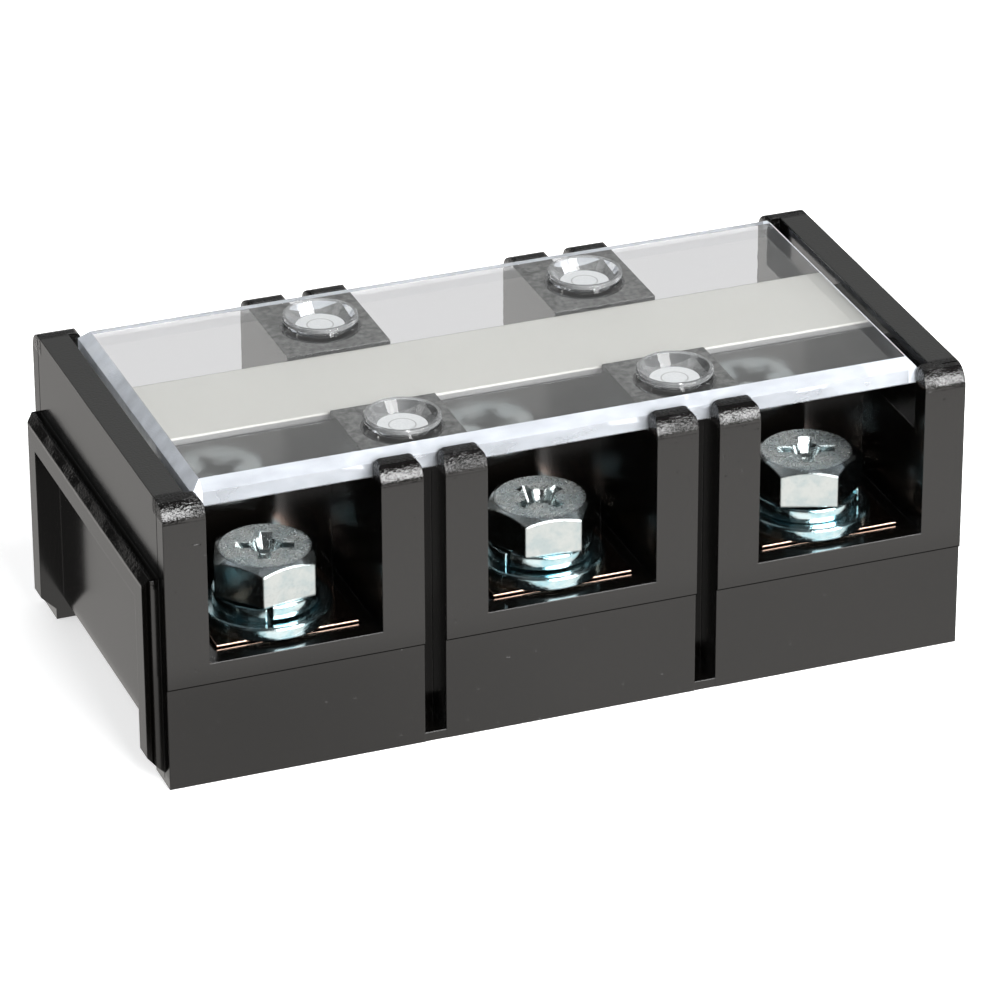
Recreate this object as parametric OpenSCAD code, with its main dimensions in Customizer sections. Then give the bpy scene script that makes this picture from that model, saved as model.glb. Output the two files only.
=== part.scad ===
// Three-pole barrier terminal strip, 60 A class.
// One glossy moulded housing with a raised centre ridge, three through terminal plates,
// six hexagon-head screws with spring and flat washers, a marker strip along the ridge
// and a clear bevelled cover that snaps into the mounting holes with four hollow pins.
// X runs along the block, -Y is the front, Z is up, and the origin is at the middle of the
// underside, counting the rail that stands out of the left-hand end.

/* [Housing] */
// Clear width of each wiring bay
bay_w = 18; // [16.5:0.5:24]
// Depth of the block from its front face to its rear face
block_depth = 43; // [41:0.5:52]
// Height of the pillars and end walls
block_h = 31.4; // [30:0.2:38]
// Thickness of each wall of a barrier, and width of each pillar
barrier_t = 4.4; // [4:0.1:6]
// Gap between the two walls of a barrier
slot_w = 2.3; // [1.5:0.1:3]
// How far the gap runs in from the face
slot_run = 4.2; // [3:0.1:4.4]
// Height of the web that closes the gap at the base
slot_web_h = 1; // [0.6:0.1:2]
// How far that web stands back from the face
slot_web_set = 0.3; // [0.1:0.1:0.6]
// Thickness of the end walls beside the cover
end_wall_t = 3; // [2.4:0.1:3.4]
// Height of the ledge where the end walls get thicker
ledge_h = 24.4; // [24:0.1:27]
// Depth of the pillars from the face
pillar_run = 2.5; // [2.2:0.1:3]
// Radius over the top of the pillars
nose_r = 2; // [1:0.1:2.1]
// Radius of the pillars' upper side corners
nose_corner_r = 0.8; // [0.3:0.1:1]
// Height of the bay floor above the underside
floor_h = 13.5; // [12.6:0.1:15]
// Thickness of the bay floor
floor_t = 4; // [3.6:0.1:5]
// Clearance of the centre ridge from the flat washers
ridge_gap = 0.6; // [0.3:0.1:1]
// Height of the lower skirt
skirt_h = 11.2; // [8:0.1:12]
// How far the lower skirt stands back
skirt_set = 0.25; // [0.1:0.05:0.4]
// Wall left round the hollows in the underside
under_wall = 2.2; // [1.8:0.1:3]
// Depth that the noses stand above the cover's seat
seat_drop = 2.1; // [1.4:0.1:2.6]

/* [Mounting holes] */
// Distance of each mounting hole from the nearer face
hole_in = 9.2; // [9:0.1:9.6]
// Radius of the mounting holes
hole_r = 2.2; // [1.6:0.1:2.7]
// Radius of the counterbores that take screw heads and cover pins
cbore_r = 4.2; // [4:0.1:4.4]
// Depth of the counterbores below the cover's seat
cbore_deep = 7; // [5:0.5:10]

/* [End rail] */
// How far the rail stands out of the left-hand end
rail_out = 1.6; // [1:0.1:2]
// Width of the rail's legs and bar
rail_w = 3; // [2.4:0.1:4]
// Height of the top of the rail
rail_top = 22.8; // [20:0.1:23]
// Distance of the rail from the front and rear faces
rail_in = 1.7; // [1.5:0.1:3]
// Height of the rail's feet above the underside
rail_foot = 1.2; // [0.5:0.1:3]
// Lead-in bevel round the rail
rail_bevel = 0.7; // [0.3:0.1:0.9]
// Depth of the pocket inside the rail, from the end face
pocket_deep = 0.9; // [0.5:0.1:2.8]
// Height of the foot of the pocket's back wall above the underside
pocket_foot = 2.3; // [1:0.1:5]
// How far the gap below that wall runs in behind it
pocket_run = 2; // [0.5:0.1:2]
// Clearance of the socket that takes a neighbour's rail
socket_gap = 0.3; // [0.2:0.05:0.4]

/* [Cover] */
// Thickness of the clear cover
cover_t = 2.6; // [2.2:0.1:3.4]
// Width of the bevel round the cover's top
cover_bevel = 1.05; // [0.5:0.05:1.4]
// Clearance of the cover from the pillars
cover_gap = 0.3; // [0.2:0.05:0.6]
// Clearance of the cover from the end walls
cover_end_gap = 1; // [0.5:0.1:1.4]
// Height of the rim round each snap pin's mouth
cup_rim_h = 0.4; // [0.2:0.1:0.8]
// Width of that rim
rim_w = 0.35; // [0.25:0.05:0.5]
// Easing of the rim's edges
rim_ease = 0.1; // [0.05:0.05:0.15]
// Depth of the dished mouth below the rim
cup_deep = 1.2; // [0.8:0.1:1.5]
// Radius of the floor of the dished mouth
cup_floor_r = 2.6; // [2:0.1:3]
// Thickness of that floor, and of the pin's wall
pin_wall = 0.8; // [0.6:0.1:1]
// Length of the snap pins below the cover
pin_len = 3.6; // [2:0.1:4.6]
// Length of the lead-in at the tip of the snap pins
pin_lead = 0.5; // [0.3:0.1:0.8]
// How far the lead-in draws the tip in
pin_taper = 0.3; // [0.1:0.05:0.5]
// Clearance of the snap pins in their counterbores
pin_gap = 0.3; // [0.25:0.05:0.5]
// Width of the slits in the snap pins
pin_slit = 0.8; // [0.5:0.1:1.2]

/* [Marker strip] */
// Thickness of the marker strip
strip_t = 0.8; // [0.5:0.1:1]
// Clearance of the strip under the cover and at its edges
strip_gap = 0.3; // [0.2:0.05:0.5]

/* [Terminal plates] */
// Thickness of the terminal plates
plate_t = 1.2; // [1:0.1:2]
// How far the plates stand out of their recesses in the ledges
plate_rise = 0.3; // [0.1:0.1:0.8]
// Clearance of the plates in their recesses
plate_gap = 0.3; // [0.2:0.05:0.6]
// Distance of the plates' sides from the walls of the bays
plate_side = 1.6; // [1.2:0.1:3]
// Distance of the plates' ends from the faces
plate_in = 2.7; // [1.6:0.1:3.2]
// Outer radius of the tapped collars under the plates
collar_r = 4.3; // [4:0.1:4.6]
// Length of the tapped collars
collar_len = 3; // [2:0.1:3.2]
// Clearance of the collars in their wells
collar_gap = 0.3; // [0.3:0.05:0.6]
// Room left under the screws in their wells
well_spare = 1; // [0.5:0.5:3]

/* [Terminal screws] */
// Distance of the screws from the faces
screw_in = 7.8; // [7:0.1:8.2]
// How far the screws stand left of the middle of their bays
screw_off = 0.5; // [0:0.1:1]
// Radius of the screw thread
screw_r = 3; // [2.5:0.1:3]
// Running clearance of the thread
thread_gap = 0.05; // [0.02:0.01:0.08]
// Length of the screws below the head
screw_len = 12; // [10:0.5:13]
// Width of the hexagon heads across their flats
head_af = 10; // [9:0.1:11]
// Height of the heads
head_h = 4.1; // [3.4:0.1:4.6]
// Radius of the flat land on top of the heads
land_r = 4.4; // [4:0.1:4.6]
// Run of the eased edge round that land
land_ease = 0.3; // [0.1:0.1:0.5]
// Fall of the eased edge
land_fall = 0.175; // [0.05:0.025:0.3]
// Height of the chamfer on the heads
head_cham = 0.5; // [0.2:0.1:0.8]
// Chamfer at the tip of the screws
screw_tip = 0.7; // [0.4:0.1:1]
// Span of the cross recess
cross_span = 6.2; // [5:0.1:6.6]
// Width of the arms of the cross recess
cross_w = 1.3; // [0.8:0.1:1.6]
// Depth of the arms
cross_deep = 1.3; // [0.8:0.1:1.6]
// Depth of the middle of the recess
cross_mid_deep = 2.4; // [1.8:0.1:2.8]
// Radius of the middle of the recess at its floor
cross_floor_r = 0.9; // [0.5:0.1:1.2]
// Radius of the middle of the recess at the top of the head
cross_mouth_r = 1.7; // [1.4:0.1:2.2]
// Outer radius of the spring washers
spring_r = 5.4; // [4.8:0.1:5.8]
// Height of the spring washers
spring_t = 1.8; // [1.4:0.1:2]
// Easing of the spring washers' edges
spring_ease = 0.15; // [0.05:0.05:0.3]
// Width of the split in the spring washers
spring_split = 0.5; // [0.4:0.1:1.2]
// Outer radius of the flat washers
washer_r = 6.6; // [6:0.1:6.7]
// Thickness of the flat washers
washer_t = 1.5; // [1:0.1:1.8]
// Easing of the flat washers' edges
washer_ease = 0.2; // [0.05:0.05:0.4]
// Clearance of the washers round the screw
washer_gap = 0.3; // [0.2:0.05:0.5]

/* [Hidden] */
$fn = 64;
e = 0.02;
poles = 3;

// How each screw, its recess and its spring washer happen to stand, in degrees
front_hex = [-20, -35, 10];
rear_hex = [5, 40, 22];
front_cross = [-20, 25, -18];
rear_cross = [30, -12, 55];
front_split = [-107, -150, -35];
rear_split = [70, 120, 15];

// Along the block
pair_w = 2 * barrier_t + slot_w;
pitch = bay_w + pair_w;
plate_w = bay_w - 2 * plate_side;
block_len = poles * bay_w + (poles - 1) * pair_w + 2 * barrier_t;
x_left = rail_out / 2 - block_len / 2;
x_right = x_left + block_len;
function bay_x(i) = x_left + barrier_t + bay_w / 2 + i * pitch;
function pair_x(j) = x_left + barrier_t + bay_w + pair_w / 2 + j * pitch;
function screw_x(i) = bay_x(i) - screw_off;

// Across the block
y_face = block_depth / 2;
y_hole = y_face - hole_in;
y_screw = y_face - screw_in;
ridge_w = 2 * (y_screw - washer_r - ridge_gap);
y_ridge = ridge_w / 2;
plate_y = y_face - plate_in;

// Heights
cover_z = block_h - seat_drop;
ridge_top = cover_z - strip_gap - strip_t;
plate_top = floor_h + plate_rise;
plate_z = plate_top - plate_t;
spring_z = plate_top + washer_t;
head_z = spring_z + spring_t;
under_top = floor_h - floor_t;
well_z = head_z - screw_len - well_spare;
under_run = y_screw - collar_r - collar_gap - under_wall;

// The cover
cover_x0 = x_left + end_wall_t + cover_end_gap;
cover_x1 = x_right - end_wall_t - cover_end_gap;
cover_y = y_face - pillar_run - cover_gap;
cover_top = cover_z + cover_t;
pin_r = cbore_r - pin_gap;
rim_top = cover_top + cup_rim_h;
dish_z = rim_top - cup_deep;

// A box from one corner to the opposite one
module span(a, b) {
    translate(a) cube(b - a);
}

// The piece that is cut away to round a straight edge along X
module round_x(x0, x1, y, z, r) {
    for (s = [-1, 1]) {
        difference() {
            span([x0, s * y - (s > 0 ? r : 1), z - r], [x1, s * y + (s > 0 ? 1 : r), z + 1]);
            translate([x0 - 1, s * (y - r), z - r]) rotate([0, 90, 0]) cylinder(r = r, h = x1 - x0 + 2);
        }
    }
}

// The piece that is cut away to round the upper side corner of a pillar
module round_y(x, side, z, r) {
    difference() {
        span([x - (side > 0 ? r : 1), -y_face - 1, z - r], [x + (side > 0 ? 1 : r), y_face + 1, z + 1]);
        translate([x - side * r, -y_face - 2, z - r])
            rotate([-90, 0, 0]) cylinder(r = r, h = block_depth + 4);
    }
}

// The two bays of one pole, front and rear, open at the top and at the face
module bays(i) {
    x = bay_x(i);
    for (s = [-1, 1]) {
        span(
            [x - bay_w / 2, s > 0 ? y_ridge : -y_face - 1, floor_h],
            [x + bay_w / 2, s > 0 ? y_face + 1 : -y_ridge, block_h + 1]
        );
    }
}

// The seat of the cover between the pillars, and the wider ends above the ledge
module cover_seat() {
    span(
        [x_left + end_wall_t, -y_face + pillar_run, cover_z],
        [x_right - end_wall_t, y_face - pillar_run, block_h + 1]
    );
    for (x = [x_left + end_wall_t, x_right - barrier_t - e]) {
        span(
            [x, -y_face + pillar_run, ledge_h],
            [x + barrier_t - end_wall_t + e, y_face - pillar_run, block_h + 1]
        );
    }
}

// The gap between the two walls of a barrier, closed by a web at the base
module barrier_slot(x) {
    for (s = [-1, 1]) {
        span(
            [x - slot_w / 2, s > 0 ? y_face - slot_run : -y_face - 1, slot_web_h],
            [x + slot_w / 2, s > 0 ? y_face + 1 : -y_face + slot_run, block_h + 1]
        );
        span(
            [x - slot_w / 2, s > 0 ? y_face - slot_web_set : -y_face - 1, -1],
            [x + slot_w / 2, s > 0 ? y_face + 1 : -y_face + slot_web_set, slot_web_h + e]
        );
    }
}

// The four stepped mounting holes through the barriers
module mounting_holes() {
    for (j = [0 : poles - 2], s = [-1, 1]) {
        translate([pair_x(j), s * y_hole, -1]) cylinder(r = hole_r, h = block_h + 2);
        translate([pair_x(j), s * y_hole, cover_z - cbore_deep]) cylinder(r = cbore_r, h = cbore_deep + 1);
    }
}

// The hollow that cores out the underside of each pole, between the screw wells
module underside() {
    for (i = [0 : poles - 1]) {
        span(
            [bay_x(i) - bay_w / 2 + under_wall / 2, -under_run, -1],
            [bay_x(i) + bay_w / 2 - under_wall / 2, under_run, under_top]
        );
    }
}

// The recess of a terminal plate in the ledges and under the ridge, with the wells for its collars
module plate_way(i) {
    span(
        [bay_x(i) - plate_w / 2 - plate_gap, -plate_y - plate_gap, plate_z],
        [bay_x(i) + plate_w / 2 + plate_gap, plate_y + plate_gap, plate_top + plate_gap]
    );
    for (s = [-1, 1]) {
        translate([screw_x(i), s * y_screw, well_z])
            cylinder(r = collar_r + collar_gap, h = plate_top - well_z);
    }
}

// The inverted U of the end rail: outline and inside, out by g on every side
module rail_outline(g, z0) {
    polygon([
        [-y_face + rail_in - g, z0], [-y_face + rail_in - g, rail_top + g],
        [y_face - rail_in + g, rail_top + g], [y_face - rail_in + g, z0],
        [y_face - rail_in - rail_w - g, z0], [y_face - rail_in - rail_w - g, rail_top - rail_w - g],
        [-y_face + rail_in + rail_w + g, rail_top - rail_w - g], [-y_face + rail_in + rail_w + g, z0]
    ]);
}

// The rail stands out of the left-hand end, bevelled at its top, sides and feet
module end_rail() {
    b = rail_bevel;
    out = x_left - rail_out;
    intersection() {
        translate([x_left + e, 0, 0]) rotate([90, 0, -90])
            linear_extrude(rail_out + e) rail_outline(0, rail_foot);
        rotate([90, 0, 0]) translate([0, 0, -y_face]) linear_extrude(block_depth) polygon([
            [x_left + 1, rail_foot], [x_left, rail_foot], [out, rail_foot + rail_out],
            [out, rail_top - b], [out + b, rail_top], [x_left + 1, rail_top]
        ]);
        linear_extrude(block_h) polygon([
            [x_left + 1, -y_face + rail_in], [out + b, -y_face + rail_in], [out, -y_face + rail_in + b],
            [out, y_face - rail_in - b], [out + b, y_face - rail_in], [x_left + 1, y_face - rail_in]
        ]);
    }
}

// The pocket inside the rail with the gap at its foot, and the socket at the other end for a neighbour's rail
module end_recesses() {
    span(
        [x_left - 1, -y_face + rail_in + rail_w, -1],
        [x_left + pocket_deep, y_face - rail_in - rail_w, rail_top - rail_w]
    );
    span(
        [x_left - 1, -y_face + rail_in + rail_w, -1],
        [x_left + pocket_deep + pocket_run, y_face - rail_in - rail_w, pocket_foot]
    );
    translate([x_right + 1, 0, 0]) rotate([90, 0, -90])
        linear_extrude(rail_out + socket_gap + 1) rail_outline(socket_gap, -1);
}

// The moulded housing
module body() {
    color([0.07, 0.07, 0.075])
    difference() {
        union() {
            span([x_left, -y_face, 0], [x_right, y_face, block_h]);
            end_rail();
        }
        for (i = [0 : poles - 1]) {
            bays(i);
            plate_way(i);
        }
        cover_seat();
        span([x_left + end_wall_t, -y_ridge, ridge_top], [x_right - end_wall_t, y_ridge, block_h + 1]);
        for (j = [0 : poles - 2]) barrier_slot(pair_x(j));
        mounting_holes();
        underside();
        end_recesses();
        for (s = [-1, 1]) {
            span([x_left - 1, s > 0 ? y_face - skirt_set : -y_face - 1, -1],
                 [x_right + 1, s > 0 ? y_face + 1 : -y_face + skirt_set, skirt_h]);
        }
        round_x(x_left - 1, x_right + 1, y_face, block_h, nose_r);
        for (j = [0 : poles - 2], s = [-1, 1]) {
            round_y(pair_x(j) + s * pair_w / 2, s, block_h, nose_corner_r);
            round_y(pair_x(j) + s * slot_w / 2, -s, block_h, nose_corner_r);
        }
        round_y(x_left + barrier_t, 1, block_h, nose_corner_r);
        round_y(x_right - barrier_t, -1, block_h, nose_corner_r);
    }
}

// A hollow snap pin of the cover, with its raised rim and dished mouth
module snap_pin() {
    rotate_extrude() polygon([
        [0, dish_z], [cup_floor_r, dish_z], [pin_r - rim_w - rim_ease, rim_top - rim_ease],
        [pin_r - rim_w, rim_top], [pin_r - rim_ease, rim_top], [pin_r, rim_top - rim_ease],
        [pin_r, cover_z - pin_len + pin_lead], [pin_r - pin_taper, cover_z - pin_len],
        [pin_r - pin_wall, cover_z - pin_len],
        [pin_r - pin_wall, cover_z], [cup_floor_r, dish_z - pin_wall], [0, dish_z - pin_wall]
    ]);
}

// The clear cover, one moulding with its four snap pins
module cover() {
    b = cover_bevel;
    color([0.85, 0.9, 0.95, 0.4])
    difference() {
        union() {
            difference() {
                intersection() {
                    rotate([90, 0, 0]) translate([0, 0, -cover_y]) linear_extrude(2 * cover_y) polygon([
                        [cover_x0, cover_z], [cover_x0, cover_top - b], [cover_x0 + b, cover_top],
                        [cover_x1 - b, cover_top], [cover_x1, cover_top - b], [cover_x1, cover_z]
                    ]);
                    translate([cover_x0, 0, 0]) rotate([90, 0, 90])
                        linear_extrude(cover_x1 - cover_x0) polygon([
                        [-cover_y, cover_z], [-cover_y, cover_top - b], [-cover_y + b, cover_top],
                        [cover_y - b, cover_top], [cover_y, cover_top - b], [cover_y, cover_z]
                    ]);
                }
                for (j = [0 : poles - 2], s = [-1, 1]) {
                    translate([pair_x(j), s * y_hole, cover_z - 1])
                        cylinder(r = pin_r - 0.2, h = cover_t + 2);
                }
            }
            for (j = [0 : poles - 2], s = [-1, 1]) translate([pair_x(j), s * y_hole, 0]) snap_pin();
        }
        for (j = [0 : poles - 2], s = [-1, 1]) {
            span(
                [pair_x(j) - pin_r - 1, s * y_hole - pin_slit / 2, cover_z - pin_len - 1],
                [pair_x(j) + pin_r + 1, s * y_hole + pin_slit / 2, cover_z]
            );
        }
    }
}

// The marker strip lies on the ridge from end wall to end wall
module marker_strip() {
    color([0.82, 0.82, 0.8])
    span(
        [x_left + end_wall_t + strip_gap, -y_ridge + strip_gap, ridge_top],
        [x_right - end_wall_t - strip_gap, y_ridge - strip_gap, ridge_top + strip_t]
    );
}

// A terminal plate runs from front to rear under the ridge, with two tapped collars
module terminal_plate(i) {
    color([0.8, 0.66, 0.56])
    difference() {
        union() {
            span(
                [bay_x(i) - plate_w / 2, -plate_y, plate_z],
                [bay_x(i) + plate_w / 2, plate_y, plate_top]
            );
            for (s = [-1, 1]) {
                translate([screw_x(i), s * y_screw, plate_z - collar_len])
                    cylinder(r = collar_r, h = collar_len + plate_t / 2);
            }
        }
        for (s = [-1, 1]) {
            translate([screw_x(i), s * y_screw, plate_z - collar_len - 1])
                cylinder(r = screw_r + thread_gap, h = collar_len + plate_t + 2);
        }
    }
}

// A terminal screw: chamfered hexagon head with a cross recess, and the shank
module screw(x, y, hex_turn, cross_turn) {
    ease_r = land_r + land_ease;
    cone_foot = head_h - head_cham - (head_af - ease_r) / 2;
    translate([x, y, head_z]) color([0.75, 0.8, 0.84])
    difference() {
        union() {
            intersection() {
                rotate([0, 0, hex_turn - 90]) cylinder(r = head_af / sqrt(3), h = head_h, $fn = 6);
                rotate_extrude() polygon([
                    [0, 0], [head_af, 0], [head_af, cone_foot],
                    [ease_r, head_h - land_fall], [land_r, head_h], [0, head_h]
                ]);
            }
            rotate_extrude() polygon([
                [0, head_cham], [screw_r, head_cham], [screw_r, screw_tip - screw_len],
                [screw_r - screw_tip, -screw_len], [0, -screw_len]
            ]);
        }
        rotate([0, 0, cross_turn]) {
            for (a = [0, 90]) {
                rotate([0, 0, a]) translate([-cross_span / 2, -cross_w / 2, head_h - cross_deep])
                    cube([cross_span, cross_w, cross_deep + 1]);
            }
        }
        rotate_extrude() polygon([
            [0, head_h - cross_mid_deep], [cross_floor_r, head_h - cross_mid_deep],
            [cross_mouth_r, head_h + e], [0, head_h + e]
        ]);
    }
}

// A split spring washer, pressed flat
module spring_washer(x, y, turn) {
    translate([x, y, spring_z]) color([0.7, 0.76, 0.8])
    difference() {
        rotate_extrude() polygon([
            [screw_r + washer_gap, 0], [spring_r - spring_ease, 0], [spring_r, spring_ease],
            [spring_r, spring_t - spring_ease], [spring_r - spring_ease, spring_t], [screw_r + washer_gap, spring_t]
        ]);
        rotate([0, 0, turn]) translate([0, -spring_split / 2, -1])
            cube([spring_r + 1, spring_split, spring_t + 2]);
    }
}

// A flat washer with eased edges
module flat_washer(x, y) {
    b = washer_ease;
    translate([x, y, plate_top]) color([0.78, 0.83, 0.86])
    rotate_extrude() polygon([
        [screw_r + washer_gap, 0], [washer_r - b, 0], [washer_r, b], [washer_r, washer_t - b],
        [washer_r - b, washer_t], [screw_r + washer_gap, washer_t]
    ]);
}

body();
cover();
marker_strip();
for (i = [0 : poles - 1]) {
    x = screw_x(i);
    n = i + 1;
    terminal_plate(i);
    screw(x, -y_screw, front_hex[i], front_cross[i]);
    screw(x, y_screw, rear_hex[i], rear_cross[i]);
    spring_washer(x, -y_screw, front_split[i]);
    spring_washer(x, y_screw, rear_split[i]);
    flat_washer(x, -y_screw);
    flat_washer(x, y_screw);
}
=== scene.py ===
import math

import bpy
from mathutils import Matrix, Vector


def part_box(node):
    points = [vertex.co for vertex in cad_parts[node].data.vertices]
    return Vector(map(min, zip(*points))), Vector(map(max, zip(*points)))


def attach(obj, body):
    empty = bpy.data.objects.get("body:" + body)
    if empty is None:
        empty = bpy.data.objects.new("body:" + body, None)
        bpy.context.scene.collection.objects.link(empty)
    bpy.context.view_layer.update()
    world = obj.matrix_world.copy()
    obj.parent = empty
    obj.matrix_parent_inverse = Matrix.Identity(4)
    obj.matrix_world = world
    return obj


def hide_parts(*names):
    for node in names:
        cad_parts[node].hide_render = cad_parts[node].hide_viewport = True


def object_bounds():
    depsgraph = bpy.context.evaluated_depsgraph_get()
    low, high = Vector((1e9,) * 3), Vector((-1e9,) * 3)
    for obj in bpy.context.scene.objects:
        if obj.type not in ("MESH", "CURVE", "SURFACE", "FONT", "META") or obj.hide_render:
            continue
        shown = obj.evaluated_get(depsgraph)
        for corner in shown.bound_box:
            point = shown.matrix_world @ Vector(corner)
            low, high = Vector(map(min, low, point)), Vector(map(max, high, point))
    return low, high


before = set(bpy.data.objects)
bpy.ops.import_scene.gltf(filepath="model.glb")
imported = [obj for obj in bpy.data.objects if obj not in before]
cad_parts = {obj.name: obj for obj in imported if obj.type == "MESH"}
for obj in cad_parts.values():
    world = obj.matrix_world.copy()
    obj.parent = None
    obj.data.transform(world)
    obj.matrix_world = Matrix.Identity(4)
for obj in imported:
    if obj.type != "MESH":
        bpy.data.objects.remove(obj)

bl_info = {
    "name": "Barrier terminal strip",
    "version": (1, 0, 0),
    "blender": (4, 5, 0),
    "location": "3D View > Sidebar > Terminal strip",
    "description": "Dresses the terminal strip's housing, cover, plates and screws, and sets the stage",
    "category": "Object",
}

MM = 0.001
CAD_BOX = [list(corner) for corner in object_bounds()]
POLES = (1, 2, 3)
ROWS = ("front", "rear")

# Axes of the cover's four pins, and the radius and height of the frosted floor of their cups
PIN_X = (-13.75, 15.35)
PIN_Y = 12.3
CUP_RADIUS = 2.6
CUP_FLOOR = 31.1

# Height of the line where the skirt steps back, and width of the cover's bevel
SKIRT_TOP = 11.2
COVER_BEVEL = 1.05

# Where finishes change on the housing: how far the blasted noses reach down from its top and in from its
# front and rear, where the end rail starts, and how far in the parting line runs. A pair is a soft edge
NOSE_DOWN = (2.0, 1.4)
NOSE_IN = (3.1, 2.6)
RAIL_X = (-42.4, -41.9)
RAIL_Z = (21.7, 22.1)
PARTING_IN = 1.9

# Half widths of the painted shade line under the skirt's step, of the fine parting line and of the fine line
# in the cup floors, and radius of that ring
SKIRT_SHADE_HALF_WIDTH = 0.11
PARTING_LINE = 0.09
CUP_LINE = 0.07
CUP_RING = 1.35

# Softboxes, in metres: place, what it is aimed at, width and height
KEY_BOX = ((0.231, -0.648, 0.329), (0, 0, 0.03), 0.62, 0.75)
FILL_BOX = ((-0.75, 0.10, 0.60), (0, 0, 0.01), 0.40, 0.40)

# Grey of the studio in front of the strip and colour of the backdrop behind it, from the horizon up
DIM_FRONT = ((0.0, 0.05), (0.45, 0.08), (0.9, 0.10), (1.0, 0.18))
PALE_BACK = (
    (0.0, (1.0, 0.995, 0.985)), (0.5, (0.95, 0.955, 0.955)), (0.7, (0.70, 0.72, 0.74)),
    (1.0, (0.18, 0.18, 0.18)),
)

# How far a head's chamfer runs out for each unit it drops
CHAMFER_RUN = 1.75

# Rounding of the spring washers' section, and their play round the shank, in metres
SPRING_EASE = 0.16 * MM
SPRING_PLAY = 0.3 * MM

# How each screw, its recess and its spring washer happen to stand, in degrees
TURNS = {
    "front": ((-20, -20, -107), (-35, 25, -150), (10, -18, -35)),
    "rear": ((5, 30, 70), (40, -12, 120), (22, 55, 15)),
}


# --- node building -----------------------------------------------------------------------------

class Wire:
    """One output socket. Python's operators on it add Math nodes."""

    def __init__(self, net, socket):
        self.net = net
        self.socket = socket

    def of(self, name):
        return Wire(self.net, self.socket.node.outputs[name])

    def __add__(self, other):
        return self.net.maths("ADD", self, other)

    __radd__ = __add__

    def __mul__(self, other):
        return self.net.maths("MULTIPLY", self, other)

    __rmul__ = __mul__

    def __sub__(self, other):
        return self.net.maths("SUBTRACT", self, other)

    def __rsub__(self, other):
        return self.net.maths("SUBTRACT", other, self)

    def __truediv__(self, other):
        return self.net.maths("DIVIDE", self, other)

    def __rtruediv__(self, other):
        return self.net.maths("DIVIDE", other, self)

    def __pow__(self, other):
        return self.net.maths("POWER", self, other)

    def __abs__(self):
        return self.net.maths("ABSOLUTE", self)


class Net:
    """Builds a shader or geometry tree."""

    def __init__(self, tree):
        self.tree = tree

    def node(self, kind, settings=None, inputs=None, out=0):
        made = self.tree.nodes.new(kind)
        for name, value in (settings or {}).items():
            if name == "stops":
                ramp = made.color_ramp.elements
                while len(ramp) < len(value):
                    ramp.new(1.0)
                for stop, (place, colour) in zip(ramp, value):
                    stop.position = place
                    stop.color = colour
            else:
                setattr(made, name, value)
        for key, value in (inputs or {}).items():
            if isinstance(value, Wire):
                self.tree.links.new(value.socket, made.inputs[key])
            else:
                made.inputs[key].default_value = value
        return Wire(self, made.outputs[out]) if len(made.outputs) else made

    def maths(self, operation, *values, clamp=False):
        settings = {"operation": operation, "use_clamp": clamp}
        return self.node("ShaderNodeMath", settings, dict(enumerate(values)))

    def step(self, value, low, high):
        """0 below low, 1 above high, smooth between."""
        return self.node(
            "ShaderNodeMapRange",
            {"interpolation_type": "SMOOTHSTEP"},
            {"Value": value, "From Min": low, "From Max": high, "To Min": 0.0, "To Max": 1.0},
        )

    def blend(self, mask, first, second):
        """Mixes two colours."""
        return self.node("ShaderNodeMix", {"data_type": "RGBA"}, {0: mask, 6: first, 7: second}, out=2)

    def noise(self, place, scale, detail=2.0, rough=0.5):
        return self.node(
            "ShaderNodeTexNoise", {"noise_dimensions": "3D"},
            {"Vector": place, "Scale": scale, "Detail": detail, "Roughness": rough},
        )

    def stretched(self, place, scale):
        return self.node("ShaderNodeMapping", {"vector_type": "POINT"}, {"Vector": place, "Scale": scale})

    def bump(self, height, strength, distance, normal=None):
        inputs = {"Height": height, "Strength": strength, "Distance": distance}
        if normal is not None:
            inputs["Normal"] = normal
        return self.node("ShaderNodeBump", None, inputs)


def rgba(colour):
    """A colour with the fourth part that shader sockets want."""
    return tuple(colour) + (1,)


def new_finish(name):
    """A material with an empty tree, its net, its Principled shader and its object coordinates in mm."""
    finish = bpy.data.materials.new(name)
    finish.use_nodes = True
    tree = finish.node_tree
    tree.nodes.clear()
    net = Net(tree)
    shader = tree.nodes.new("ShaderNodeBsdfPrincipled")
    output = tree.nodes.new("ShaderNodeOutputMaterial")
    tree.links.new(shader.outputs[0], output.inputs["Surface"])
    coords = net.node("ShaderNodeTexCoord").of("Object")
    place = net.node("ShaderNodeVectorMath", {"operation": "SCALE"}, {0: coords, "Scale": 1000.0})
    return finish, net, shader, place


def set_shader(net, shader, **values):
    for key, value in values.items():
        socket = shader.inputs[key.replace("_", " ").title().replace("Ior", "IOR")]
        if isinstance(value, Wire):
            net.tree.links.new(value.socket, socket)
        else:
            socket.default_value = value


def show(net, wire):
    """Makes a wire the tree's surface."""
    output = next(node for node in net.tree.nodes if node.type == "OUTPUT_MATERIAL")
    net.tree.links.new(wire.socket, output.inputs["Surface"])


# --- finishes ----------------------------------------------------------------------------------

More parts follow.
